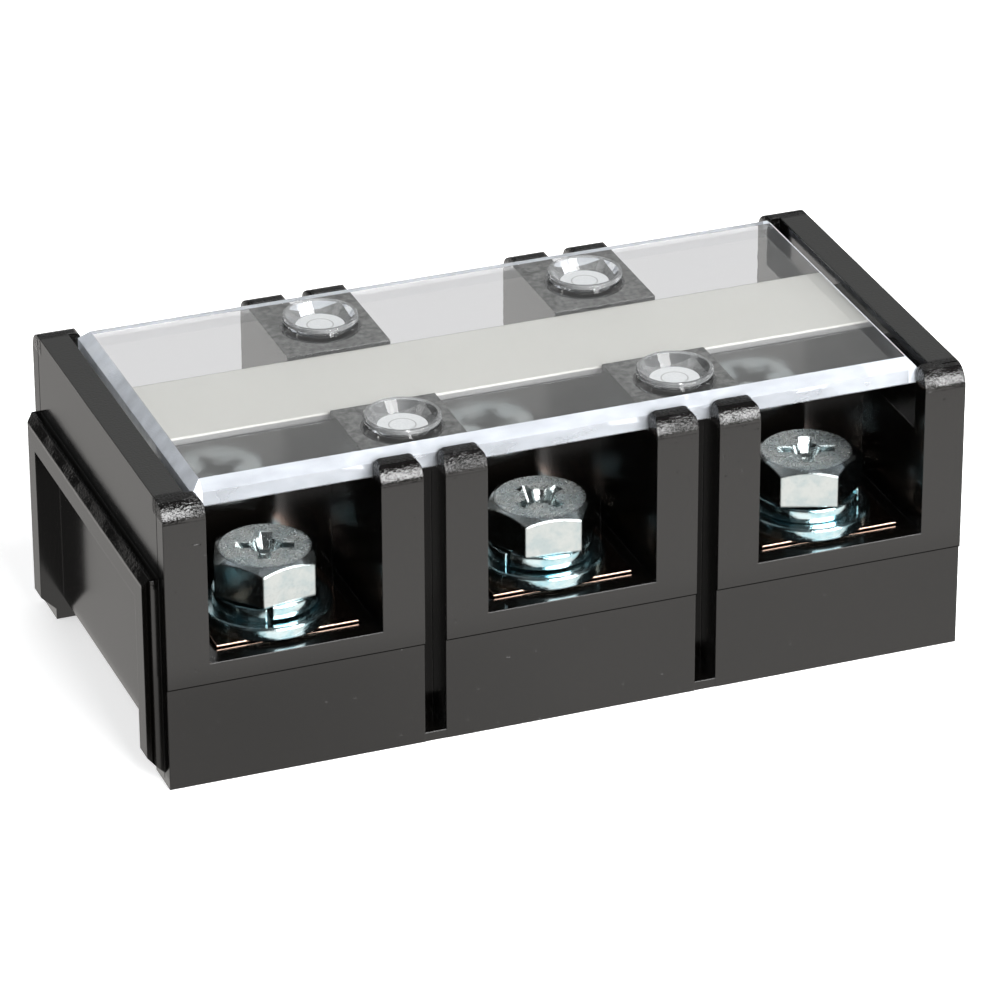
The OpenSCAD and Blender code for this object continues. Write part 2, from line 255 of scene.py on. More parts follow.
def moulded_black(look):
    """Glossy black moulding compound: eased edges, faint flow lines, sandblasted tops, parting lines, a
    painted shade line under the skirt's step and painted reflection on the seats under the cover.
    """
    finish, net, shader, place = new_finish("moulded_black")
    xyz = net.node("ShaderNodeSeparateXYZ", None, {0: place})
    x, y, z = xyz.of("X"), xyz.of("Y"), xyz.of("Z")
    eased = net.node("ShaderNodeBevel", {"samples": 4}, {"Radius": look.edge_radius})

    far_y = CAD_BOX[1][1] / MM
    top_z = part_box("body")[1].z / MM
    top = net.step(z, top_z - 0.2, top_z - 0.05)
    nose = net.step(z, top_z - NOSE_DOWN[0], top_z - NOSE_DOWN[1]) * net.step(
        abs(y), far_y - NOSE_IN[0], far_y - NOSE_IN[1])
    facing = net.node("ShaderNodeSeparateXYZ", None, {0: net.node("ShaderNodeNewGeometry").of("True Normal")})
    level = abs(z - (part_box("marker_strip")[1].z / MM + 0.3))
    sheen_seat_mask = (1.0 - net.step(level, 0.2, 0.3)) * net.step(facing.of("Z"), 0.6, 0.9)
    rail = (1.0 - net.step(x, *RAIL_X)) * net.step(z, *RAIL_Z)
    blasted = net.maths("MAXIMUM", nose, rail * 0.5)
    cloud = net.noise(place, 0.09, 2.0, 0.5)
    patch = net.step(net.noise(place, 0.22, 2.0, 0.5), 0.40, 0.62)
    grit = net.noise(place, 3.6, 2.0, 0.6)
    specks = net.step(net.noise(place, 4.4, 1.0, 0.5), 0.50, 0.58)
    flow = net.noise(net.stretched(place, (1.6, 1.6, 0.09)), 1.0, 3.0, 0.55)
    fine = net.noise(place, 5.5, 2.0, 0.6)
    pits = net.step(net.noise(place, 1.1, 2.0, 0.5), 0.70, 0.74)

    on_face = net.step(abs(y), far_y - 0.5, far_y - 0.4)
    # Painted shade: a black line where the skirt steps back, standing in for the shadow under the overhang
    skirt_shade = net.maths("COMPARE", z, SKIRT_TOP, SKIRT_SHADE_HALF_WIDTH) * on_face
    front_line = net.maths("COMPARE", abs(y), far_y - PARTING_IN, PARTING_LINE)
    end_face = net.step(abs(x), 41.4, 41.6)
    parting = front_line * end_face * net.step(z, 0.5, 0.6)
    shade_and_parting_lines = net.maths("MAXIMUM", skirt_shade, parting)

    dark, light = rgba(look.housing_dark), rgba(look.housing_light)
    # Painted reflection: the seats under the cover are grey, standing in for the cover's pale reflection over
    # the black moulding
    seat_sheen = net.blend(flow, dark, rgba(look.seat_sheen_tone))
    colour = net.blend(sheen_seat_mask, net.blend(cloud, dark, light), seat_sheen)
    colour = net.blend(top * (1.0 - nose), colour, rgba(look.housing_top))
    height = (grit * (blasted * (0.9 + patch * 1.6) + top * 0.4) + flow * 0.022 + fine * 0.01
              - pits * on_face * 0.12)
    normal = net.bump(height, 1.0, 0.1 * MM, eased)
    roughness = 0.1 + cloud * 0.05 + fine * 0.03 + top * 0.4 - nose * (1.0 - top) * 0.08
    set_shader(net, shader, base_color=colour, roughness=roughness, normal=normal, ior=1.58)
    shade = net.node("ShaderNodeBsdfDiffuse", None, {"Color": dark, "Normal": normal})
    # The skirt line is painted shade, black under the step; the parting line is matt, and specks on the noses
    # are a little so
    matt_shade_and_specks = net.maths("MAXIMUM", shade_and_parting_lines * 0.95, nose * specks * 0.25)
    whole = net.node("ShaderNodeMixShader", None, {0: matt_shade_and_specks, 1: Wire(net, shader.outputs[0]), 2: shade})
    show(net, whole)
    return finish


def clear_plastic(look):
    """Clear polished plastic, pale and matt on the cup floors; on the bevels, the sides and the cup walls
    that pale matt is painted reflection and highlight.

    Light for the matt pieces below goes straight through.
    """
    finish, net, shader, place = new_finish("clear_plastic")
    eased = net.node("ShaderNodeBevel", {"samples": 4}, {"Radius": look.edge_radius * 0.6})
    ripple = net.noise(net.stretched(place, (0.12, 0.35, 0.35)), 1.0, 2.0, 0.5)
    scuffs = net.noise(net.stretched(place, (0.5, 6.0, 2.0)), 1.0, 3.0, 0.6)
    normal = net.bump(ripple, 0.05, 0.3 * MM, eased)
    roughness = 0.006 + net.step(scuffs, 0.55, 0.8) * 0.02
    tint = net.blend(ripple, rgba(look.cover_clear), rgba(look.cover_tint))
    set_shader(net, shader, base_color=tint, roughness=roughness, normal=normal, ior=1.49,
               transmission_weight=1.0)

    xyz = net.node("ShaderNodeSeparateXYZ", None, {0: place})
    x, y, z = xyz.of("X"), xyz.of("Y"), xyz.of("Z")
    middle = sum(PIN_X) / 2
    out_x = abs(abs(x - middle) - (PIN_X[1] - middle))
    out_y = abs(abs(y) - PIN_Y)
    away = (out_x * out_x + out_y * out_y) ** 0.5
    in_cup = (1.0 - net.step(away, CUP_RADIUS - 0.1, CUP_RADIUS)) * net.maths("COMPARE", z, CUP_FLOOR, 0.12)
    # Painted reflection and highlight: the cup walls, the bevels and the sides get a pale matt shader that
    # stands in for light bent and reflected in the clear plastic; the cup floors get it too
    cup_wall_glow = (1.0 - net.step(away, 3.9, 4.0)) * net.step(z, CUP_FLOOR - 0.9, CUP_FLOOR - 0.7)
    low, high = (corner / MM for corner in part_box("cover"))
    flat_x, flat_y = (high.x - low.x) / 2 - COVER_BEVEL, (high.y - low.y) / 2 - COVER_BEVEL
    beside = net.step(abs(x - (low.x + high.x) / 2), flat_x - 0.03, flat_x + 0.03)
    across = net.step(abs(y - (low.y + high.y) / 2), flat_y - 0.03, flat_y + 0.03)
    above = net.step(z, CUP_FLOOR - 1.75, CUP_FLOOR - 1.7)
    speckle = net.noise(place, 6.0, 2.0, 0.6)
    patch = net.noise(net.stretched(place, (0.25, 0.6, 0.6)), 1.0, 2.0, 0.5)
    slope = net.step(z, high.z - 1.5, high.z - 1.4)
    edge_glow = net.maths("MAXIMUM", beside * 0.85, across * (0.34 + slope * 0.12)) * above * (0.7 + patch * 0.5)
    pale_and_glow_mask = net.maths("MAXIMUM", in_cup, net.maths("MAXIMUM", edge_glow, cup_wall_glow * (0.08 + patch * 0.22)))
    ring = net.maths("COMPARE", away, CUP_RING, CUP_LINE) * in_cup
    tone = net.blend(speckle, rgba(look.pale_and_glow_dark), rgba(look.pale_and_glow_light))
    tone = net.blend(net.maths("MAXIMUM", beside, across), tone, rgba(look.edge_glow_tone))
    pale_and_glow_shader = net.node("ShaderNodeBsdfPrincipled", None, {
        "Base Color": net.blend(ring * 0.6, tone, rgba(look.shade_and_ring_grey)),
        "Roughness": 0.35 + speckle * 0.2, "Normal": net.bump(speckle, 0.4, 0.1 * MM)})
    with_pale_and_glow = net.node("ShaderNodeMixShader", None, {0: pale_and_glow_mask, 1: Wire(net, shader.outputs[0]), 2: pale_and_glow_shader})

    ray = net.node("ShaderNodeLightPath")
    straight = net.maths("MAXIMUM", ray.of("Is Shadow Ray"), ray.of("Is Diffuse Ray"))
    plain = net.node("ShaderNodeBsdfTransparent", None, {"Color": rgba(look.cover_clear)})
    whole = net.node("ShaderNodeMixShader", None, {0: straight, 1: with_pale_and_glow, 2: plain})
    show(net, whole)
    return finish


def marker_card(look):
    """Matt light grey card with a faint fibre; its sides are painted dark grey as shade."""
    finish, net, shader, place = new_finish("marker_card")
    fibre = net.noise(net.stretched(place, (0.8, 4.0, 4.0)), 1.0, 3.0, 0.6)
    cloud = net.noise(place, 0.12, 2.0, 0.5)
    card = net.blend(cloud * 0.7 + fibre * 0.3, rgba(look.marker_dark), rgba(look.marker_light))
    z = net.node("ShaderNodeSeparateXYZ", None, {0: place}).of("Z")
    face_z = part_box("marker_strip")[1].z / MM
    # Painted shade: below its top face the strip's sides are dark grey
    colour = net.blend(net.step(z, face_z - 0.3, face_z - 0.15), rgba(look.shade_and_ring_grey), card)
    eased = net.node("ShaderNodeBevel", {"samples": 4}, {"Radius": 0.3 * MM})
    normal = net.bump(fibre, 0.15, 0.05 * MM, eased)
    set_shader(net, shader, base_color=colour, roughness=0.42 + fibre * 0.12, normal=normal)
    return finish


def bright_copper(look):
    """Rolled copper alloy with fine drawn lines along its length."""
    finish, net, shader, place = new_finish("bright_copper")
    eased = net.node("ShaderNodeBevel", {"samples": 4}, {"Radius": 0.12 * MM})
    drawn = net.noise(net.stretched(place, (7.0, 0.25, 7.0)), 1.0, 3.0, 0.6)
    cloud = net.noise(place, 0.35, 2.0, 0.5)
    colour = net.blend(cloud, rgba(look.copper_dark), rgba(look.copper_light))
    normal = net.bump(drawn, 0.1, 0.03 * MM, eased)
    set_shader(net, shader, base_color=colour, roughness=0.07 + drawn * 0.06, metallic=1.0, normal=normal)
    return finish


def plated(name, light, blue, look):
    """Clear-passivated zinc plate: bluish, bright, slightly uneven, pitted where a head was stamped."""
    finish, net, shader, place = new_finish(name)
    z = net.node("ShaderNodeSeparateXYZ", None, {0: place}).of("Z")
    head_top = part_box("screw_front_1")[1].z / MM
    land = net.step(z, head_top - 0.12, head_top - 0.06)
    eased = net.node("ShaderNodeBevel", {"samples": 4}, {"Radius": look.metal_edge})
    cloud = net.noise(place, 0.5, 3.0, 0.55)
    grain = net.noise(place, 2.6, 4.0, 0.65)
    pits = net.step(net.noise(place, 3.2, 3.0, 0.65), 0.56, 0.64)
    tint = net.blend(net.step(cloud, 0.35, 0.68), rgba(light), rgba(blue))
    height = grain * (0.5 + land * 1.5) + cloud * 2.0 - pits * (0.2 + land * 1.6)
    normal = net.bump(height, 0.22, 0.05 * MM, eased)
    roughness = 0.08 + grain * 0.07 + pits * 0.08 + land * 0.16
    set_shader(net, shader, base_color=tint, roughness=roughness, metallic=1.0, normal=normal)
    return finish


def bright_zinc(look):
    return plated("bright_zinc", look.zinc_light, look.zinc_grey, look)


def blue_zinc(look):
    return plated("blue_zinc", look.zinc_pale, look.zinc_blue, look)


# --- sizes and colours that a user would change ------------------------------------------------

def colour_prop(name, description, default):
    return bpy.props.FloatVectorProperty(
        name=name, description=description, subtype="COLOR", size=3, min=0.0, max=1.0, default=default)


def length_prop(name, description, default):
    return bpy.props.FloatProperty(
        name=name, description=description, unit="LENGTH", subtype="DISTANCE", min=0.0, default=default)


class StripLook(bpy.types.PropertyGroup):
    """Colours and edges of the finishes"""

    edge_radius: length_prop("Edge radius", "Radius that the moulding's edges are eased to", 0.14 * MM)
    housing_dark: colour_prop("Housing dark", "Darker tone of the black moulding", (0.0008, 0.0007, 0.0006))
    housing_light: colour_prop(
        "Housing light", "Lighter tone of the black moulding", (0.0022, 0.0018, 0.0015))
    # Grey painted on the seats under the cover: painted reflection of the cover over the black moulding
    seat_sheen_tone: colour_prop("Housing seat", "Tone of the matt seats under the cover", (0.300, 0.300, 0.295))
    housing_top: colour_prop("Housing top", "Tone of the matt tops of the end walls", (0.020, 0.020, 0.019))
    metal_edge: length_prop(
        "Metal edge", "Radius that the screws' and washers' edges are eased to", 0.28 * MM)
    cover_clear: colour_prop("Cover", "Colour of the clear cover", (0.955, 0.96, 0.96))
    cover_tint: colour_prop("Cover tint", "Second tone of the clear cover", (0.94, 0.95, 0.955))
    # Pale tones of the cup floors and of the painted reflection on the cup walls, bevels and sides
    pale_and_glow_dark: colour_prop("Frost dark", "Darker tone of the frosted cup floors", (0.42, 0.44, 0.45))
    pale_and_glow_light: colour_prop("Frost light", "Lighter tone of the frosted cup floors", (0.64, 0.645, 0.65))
    # Bluish painted reflection on the cover's bevels and sides
    edge_glow_tone: colour_prop("Cover edge", "Tone of the cover's bevels and sides", (0.70, 0.74, 0.80))
    marker_dark: colour_prop("Marker dark", "Darker tone of the marker strip", (0.470, 0.460, 0.430))
    marker_light: colour_prop("Marker light", "Lighter tone of the marker strip", (0.525, 0.515, 0.485))
    # Dark grey of the painted shade on the marker strip's sides and of the rings in the cups
    shade_and_ring_grey: colour_prop(
        "Marker core", "Grey of the marker strip's core and of the rings in the cups", (0.16, 0.16, 0.16))
    copper_dark: colour_prop("Copper dark", "Darker tone of the terminal plates", (0.55, 0.34, 0.25))
    copper_light: colour_prop("Copper light", "Lighter tone of the terminal plates", (0.80, 0.60, 0.50))
    zinc_light: colour_prop("Zinc light", "Brighter tone of the screws", (0.52, 0.55, 0.545))
    zinc_grey: colour_prop("Zinc grey", "Darker tone of the screws", (0.43, 0.49, 0.50))
    zinc_pale: colour_prop("Zinc pale", "Brighter tone of the washers", (0.56, 0.68, 0.70))
    zinc_blue: colour_prop("Zinc blue", "Bluer tone of the washers", (0.36, 0.58, 0.64))


class StripSizes(bpy.types.PropertyGroup):
    """Sizes of the fastener detail"""

    across_flats: length_prop("Across flats", "Width of the hexagon heads", 10 * MM)
    head_height: length_prop("Head height", "Height of the hexagon heads", 4.1 * MM)
    land_radius: length_prop("Land radius", "Radius of the flat on top of the heads", 4.5 * MM)
    shank_radius: length_prop("Shank radius", "Radius over the threads", 3.0 * MM)
    shank_length: length_prop("Shank length", "Length below the head", 12 * MM)
    thread_pitch: length_prop("Thread pitch", "Distance from thread to thread", 1.0 * MM)
    thread_depth: length_prop("Thread depth", "Depth of the thread", 0.55 * MM)
    recess_span: length_prop("Recess span", "Length of the cross recess", 6.2 * MM)
    recess_width: length_prop("Recess width", "Width of the recess's arms", 1.35 * MM)
    recess_depth: length_prop("Recess depth", "Depth of the recess", 2.4 * MM)
    washer_section: length_prop("Washer section", "Height of the spring washer's section", 1.5 * MM)
    washer_rise: length_prop("Washer rise", "How far the spring washer's ends stand apart", 0.26 * MM)
    washer_split: length_prop("Washer split", "Width of the spring washer's split", 0.4 * MM)


class StripStage(bpy.types.PropertyGroup):
    """Camera, floor and light"""

    azimuth: bpy.props.FloatProperty(
        name="Azimuth", description="Direction the camera looks in, from +Y", subtype="ANGLE",
        default=math.radians(20.7652))
    elevation: bpy.props.FloatProperty(
        name="Elevation", description="How steeply the camera looks down", subtype="ANGLE",
        default=math.radians(27.2519))
    roll: bpy.props.FloatProperty(
        name="Roll", description="Turn of the camera about its own axis", subtype="ANGLE",
        default=math.radians(-0.1865))
    stand: bpy.props.FloatVectorProperty(
        name="Camera place", description="Where the camera stands", subtype="XYZ", unit="LENGTH",
        default=(-0.18943, -0.50281, 0.29098))
    lens: bpy.props.FloatProperty(name="Lens", description="Focal length in millimetres", default=211.893)
    floor: colour_prop("Floor", "Colour of the floor", (0.86, 0.86, 0.86))
    key: bpy.props.FloatProperty(name="Key light", description="Power of the main softbox", default=19.0)
    fill: bpy.props.FloatProperty(name="Fill light", description="Power of the side softbox", default=0.7)
    ambient: bpy.props.FloatProperty(
        name="Ambient", description="Strength of the studio's own light", default=1.0)
    shine: bpy.props.FloatProperty(
        name="Shine", description="How bright the floor is in glossy pieces", default=1.45)
    shine_fall: bpy.props.FloatProperty(
        name="Shine fall", description="How much darker that floor is behind the left-hand end", default=0.50)
    veil_fall: bpy.props.FloatProperty(
        name="Veil fall", description="How much less of the backdrop the cover and tops mirror", default=0.55)


# --- pieces ------------------------------------------------------------------------------------

def finish_nodes(nodes, finish):
    for name in nodes:
        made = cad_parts[name]
        made.data.materials.clear()
        made.data.materials.append(finish)


def kept_finish(name, maker, look):
    return bpy.data.materials.get(name) or maker(look)


def centre_of(node):
    low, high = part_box(node)
    return (low + high) / 2


def input_socket(tree, name, kind, default=None):
    made = tree.interface.new_socket(name=name, in_out="INPUT", socket_type=kind)
    if default is not None:
        made.default_value = default
    return made


def new_tree(name, lengths):
    """A geometry tree with named inputs for its sizes, a place, two turns and a finish."""
    tree = bpy.data.node_groups.new(name, "GeometryNodeTree")
    tree.interface.new_socket(name="Geometry", in_out="OUTPUT", socket_type="NodeSocketGeometry")
    for label in lengths:
        input_socket(tree, label, "NodeSocketFloat", 0.001)
    input_socket(tree, "Place", "NodeSocketVector")
    input_socket(tree, "Turn", "NodeSocketFloat", 0.0)
    input_socket(tree, "Second turn", "NodeSocketFloat", 0.0)
    input_socket(tree, "Finish", "NodeSocketMaterial")
    net = Net(tree)
    given = tree.nodes.new("NodeGroupInput")
    wires = {socket.name: Wire(net, socket) for socket in given.outputs if socket.name}
    return tree, net, wires


def vector(net, x=0.0, y=0.0, z=0.0):
    return net.node("ShaderNodeCombineXYZ", None, {0: x, 1: y, 2: z})


def moved(net, shape, place=None, turn=None, scale=None):
    inputs = {"Geometry": shape}
    if place is not None:
        inputs["Translation"] = place
    if turn is not None:
        inputs["Rotation"] = turn
    if scale is not None:
        inputs["Scale"] = scale
    return net.node("GeometryNodeTransform", None, inputs)


def joined(net, *shapes):
    made = net.tree.nodes.new("GeometryNodeJoinGeometry")
    for shape in reversed(shapes):
        net.tree.links.new(shape.socket, made.inputs[0])
    return Wire(net, made.outputs[0])


def cut(net, operation, first, *others):
    made = net.tree.nodes.new("GeometryNodeMeshBoolean")
    made.operation = operation
    made.solver = "EXACT"
    if operation == "DIFFERENCE":
        net.tree.links.new(first.socket, made.inputs[0])
        for other in others:
            net.tree.links.new(other.socket, made.inputs[1])
    else:
        for shape in (first, *others):
            net.tree.links.new(shape.socket, made.inputs[1])
    return Wire(net, made.outputs[0])


def set_down(net, shape, wires):
    """Turns the shape, sets it at its place as an instance, makes it real and gives it its finish."""
    point = net.node(
        "GeometryNodeMeshLine", {"mode": "OFFSET"}, {"Count": 1, "Start Location": wires["Place"]})
    turn = vector(net, 0.0, 0.0, wires["Turn"])
    copies = net.node(
        "GeometryNodeInstanceOnPoints", None, {"Points": point, "Instance": shape, "Rotation": turn})
    real = net.node("GeometryNodeRealizeInstances", None, {"Geometry": copies})
    last = net.node("GeometryNodeSetMaterial", None, {"Geometry": real, "Material": wires["Finish"]})
    output = net.tree.nodes.new("NodeGroupOutput")
    net.tree.links.new(last.socket, output.inputs[0])


def screw_tree():
    """A hexagon-head screw with a cross recess and a rolled thread, underside of the head at its place."""
    tree, net, wires = new_tree("terminal_screw", (
        "Across flats", "Head height", "Land radius", "Shank radius", "Shank length",
        "Thread pitch", "Thread depth", "Recess span", "Recess width", "Recess depth"))
    height = wires["Head height"]
    corner = wires["Across flats"] / math.sqrt(3)
    hexagon = net.node(
        "GeometryNodeMeshCylinder", {"fill_type": "NGON"},
        {"Vertices": 6, "Side Segments": 1, "Radius": corner, "Depth": height})
    hexagon = moved(net, hexagon, vector(net, 0.0, 0.0, height / 2))
    # The cone that chamfers the corners starts at the land's rim
    drop = 8 * MM
    widest = wires["Land radius"] + drop * CHAMFER_RUN
    cone = net.node(
        "GeometryNodeMeshCone", {"fill_type": "NGON"},
        {"Vertices": 72, "Radius Top": wires["Land radius"], "Radius Bottom": widest, "Depth": drop})
    cone = moved(net, cone, vector(net, 0.0, 0.0, height - drop))
    head = cut(net, "INTERSECT", hexagon, cone)

    # A square of unit width, narrower below, is stretched into each arm of the cross
    arms = []
    half_diagonal = 0.7072
    for quarter in (0.0, math.pi / 2):
        arm = net.node(
            "GeometryNodeMeshCone", {"fill_type": "NGON"},
            {"Vertices": 4, "Radius Top": half_diagonal, "Radius Bottom": half_diagonal * 0.62, "Depth": 1.0})
        arm = moved(net, arm, None, (0.0, 0.0, math.pi / 4))
        arm = moved(net, arm, vector(net, 0.0, 0.0, height - wires["Recess depth"] * 0.62),
                    vector(net, 0.0, 0.0, wires["Second turn"] + quarter),
                    vector(net, wires["Recess span"], wires["Recess width"], wires["Recess depth"] * 0.72))
        arms.append(arm)
    mouth, bottom = wires["Recess width"] * 1.28, wires["Recess width"] * 0.5
    well = net.node(
        "GeometryNodeMeshCone", {"fill_type": "NGON"},
        {"Vertices": 24, "Radius Top": mouth, "Radius Bottom": bottom, "Depth": wires["Recess depth"] * 1.1})
    well = moved(net, well, vector(net, 0.0, 0.0, height - wires["Recess depth"]))
    head = cut(net, "DIFFERENCE", head, *arms, well)

    core_radius = wires["Shank radius"] - wires["Thread depth"]
    core_length = wires["Shank length"] - 0.2 * MM
    core = net.node(
        "GeometryNodeMeshCylinder", {"fill_type": "NGON"},
        {"Vertices": 36, "Side Segments": 1, "Radius": core_radius, "Depth": core_length})
    core = moved(net, core, vector(net, 0.0, 0.0, 0.1 * MM - wires["Shank length"] / 2))

    # The thread stops short of the tip and of the head
    run = wires["Shank length"] - 1.4 * MM
    spiral = net.node(
        "GeometryNodeCurveSpiral", None,
        {"Resolution": 28, "Rotations": run / wires["Thread pitch"], "Start Radius": core_radius,
         "End Radius": core_radius, "Height": run, "Reverse": False})
    spiral = moved(net, spiral, vector(net, 0.0, 0.0, 0.6 * MM - wires["Shank length"]))
    upright = net.node("GeometryNodeSetCurveNormal", {"mode": "Z_UP"}, {"Curve": spiral})
    ridge = net.node(
        "GeometryNodeCurvePrimitiveCircle", {"mode": "RADIUS"},
        {"Resolution": 4, "Radius": wires["Thread depth"]})
    ridge = moved(net, ridge, None, None, vector(net, 1.0, 0.84, 1.0))
    thread = net.node(
        "GeometryNodeCurveToMesh", None, {"Curve": upright, "Profile Curve": ridge, "Fill Caps": True})

    set_down(net, joined(net, head, core, thread), wires)
    return tree


def spring_tree():
    """A split spring washer: one helical turn of a rectangular section, less the split."""
    tree, net, wires = new_tree("spring_washer", ("Inner radius", "Outer radius", "Section", "Rise", "Split"))
    middle = (wires["Inner radius"] + wires["Outer radius"]) / 2
    width = wires["Outer radius"] - wires["Inner radius"]
    turns = 1.0 - wires["Split"] / (middle * (2 * math.pi))
    spiral = net.node(
        "GeometryNodeCurveSpiral", None,
        {"Resolution": 72, "Rotations": turns, "Start Radius": middle, "End Radius": middle,
         "Height": wires["Rise"], "Reverse": False})
    spiral = moved(net, spiral, vector(net, 0.0, 0.0, wires["Section"] / 2))
    upright = net.node("GeometryNodeSetCurveNormal", {"mode": "Z_UP"}, {"Curve": spiral})
    section = net.node(
        "GeometryNodeCurvePrimitiveQuadrilateral", {"mode": "RECTANGLE"},
        {"Width": width, "Height": wires["Section"]})
    section = net.node(
        "GeometryNodeFilletCurve", {"mode": "POLY"}, {"Curve": section, "Radius": SPRING_EASE, "Count": 3})
    ring = net.node(
        "GeometryNodeCurveToMesh", None, {"Curve": upright, "Profile Curve": section, "Fill Caps": True})
    set_down(net, ring, wires)
    return tree


def grow(name, tree, values):
    """Runs a tree on an empty mesh and returns the result as a plain piece."""
    holder = bpy.data.objects.new(name + "_maker", bpy.data.meshes.new(name + "_maker"))
    bpy.context.scene.collection.objects.link(holder)
    modifier = holder.modifiers.new("maker", "NODES")
    modifier.node_group = tree
    for item in tree.interface.items_tree:
        if item.in_out == "INPUT" and item.name in values:
            modifier[item.identifier] = values[item.name]
    graph = bpy.context.evaluated_depsgraph_get()
    graph.update()
    mesh = bpy.data.meshes.new_from_object(holder.evaluated_get(graph))
    mesh.name = name
    holder.modifiers.clear()
    bpy.data.objects.remove(holder)
    if not mesh.polygons:
        raise RuntimeError(f"{name} came out empty")
    piece = bpy.data.objects.new(name, mesh)
    bpy.context.scene.collection.objects.link(piece)
    return piece


class STRIP_OT_housing(bpy.types.Operator):
    """Give the moulded housing its glossy black finish"""

    bl_idname = "strip.housing"
    bl_label = "Housing"

    def execute(self, context):
        finish_nodes(["body"], kept_finish("moulded_black", moulded_black, context.scene.strip_look))
        return {"FINISHED"}


class STRIP_OT_cover(bpy.types.Operator):
    """Give the cover its clear finish"""

    bl_idname = "strip.cover"
    bl_label = "Cover"

    def execute(self, context):
        finish_nodes(["cover"], kept_finish("clear_plastic", clear_plastic, context.scene.strip_look))
        return {"FINISHED"}


class STRIP_OT_marker(bpy.types.Operator):
    """Give the marker strip its matt finish"""

    bl_idname = "strip.marker"
    bl_label = "Marker strip"

    def execute(self, context):
        finish_nodes(["marker_strip"], kept_finish("marker_card", marker_card, context.scene.strip_look))
        return {"FINISHED"}


class STRIP_OT_plates(bpy.types.Operator):
    """Give the terminal plates their copper finish"""

    bl_idname = "strip.plates"
    bl_label = "Terminal plates"

    def execute(self, context):
        finish = kept_finish("bright_copper", bright_copper, context.scene.strip_look)
        finish_nodes([f"terminal_plate_{n}" for n in POLES], finish)
        return {"FINISHED"}


class STRIP_OT_screws(bpy.types.Operator):
    """Make the six threaded terminal screws"""

    bl_idname = "strip.screws"
    bl_label = "Terminal screws"

    def execute(self, context):
        sizes = context.scene.strip_sizes
        finish = kept_finish("bright_zinc", bright_zinc, context.scene.strip_look)
        tree = screw_tree()
        for row in ROWS:
            for n in POLES:
                node = f"screw_{row}_{n}"
                hex_turn, cross_turn, _ = TURNS[row][n - 1]
                place = centre_of(f"flat_washer_{row}_{n}")
                place.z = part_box(node)[1].z - sizes.head_height
                turn = math.radians(hex_turn - 90)
                piece = grow(f"threaded_{node}", tree, {
                    "Across flats": sizes.across_flats, "Head height": sizes.head_height,
                    "Land radius": sizes.land_radius, "Shank radius": sizes.shank_radius,
                    "Shank length": sizes.shank_length, "Thread pitch": sizes.thread_pitch,
                    "Thread depth": sizes.thread_depth, "Recess span": sizes.recess_span,
                    "Recess width": sizes.recess_width, "Recess depth": sizes.recess_depth,
                    "Place": tuple(place), "Turn": turn,
                    "Second turn": math.radians(cross_turn) - turn, "Finish": finish,
                })
                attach(piece, node)
                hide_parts(node)
        return {"FINISHED"}


class STRIP_OT_spring_washers(bpy.types.Operator):
    """Make the six split spring washers"""

    bl_idname = "strip.spring_washers"
    bl_label = "Spring washers"

    def execute(self, context):
        sizes = context.scene.strip_sizes
        finish = kept_finish("blue_zinc", blue_zinc, context.scene.strip_look)
        tree = spring_tree()
        for row in ROWS:
            for n in POLES:
                node = f"spring_washer_{row}_{n}"
                low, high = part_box(node)
                place = centre_of(f"flat_washer_{row}_{n}")
                place.z = low.z
                piece = grow(f"split_{node}", tree, {
                    "Inner radius": sizes.shank_radius + SPRING_PLAY, "Outer radius": (high.x - low.x) / 2,
                    "Section": sizes.washer_section, "Rise": sizes.washer_rise, "Split": sizes.washer_split,
                    "Place": tuple(place), "Turn": math.radians(TURNS[row][n - 1][2]), "Finish": finish,
                })
                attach(piece, f"washers_{row}_{n}")
                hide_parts(node)
        return {"FINISHED"}


class STRIP_OT_flat_washers(bpy.types.Operator):
    """Give the flat washers their plated finish"""

    bl_idname = "strip.flat_washers"
    bl_label = "Flat washers"

    def execute(self, context):
        finish = kept_finish("blue_zinc", blue_zinc, context.scene.strip_look)
        finish_nodes([f"flat_washer_{row}_{n}" for row in ROWS for n in POLES], finish)
        return {"FINISHED"}


# --- stage -------------------------------------------------------------------------------------

def softbox(name, place, aim, width, height, power):
    data = bpy.data.lights.new(name, "AREA")
    data.shape = "RECTANGLE"
    data.size = width
    data.size_y = height
    data.energy = power
    lamp = bpy.data.objects.new(name, data)
    lamp.location = place
    lamp.rotation_mode = "QUATERNION"
    lamp.rotation_quaternion = (Vector(aim) - Vector(place)).to_track_quat("-Z", "Y")
    bpy.context.scene.collection.objects.link(lamp)
    return lamp


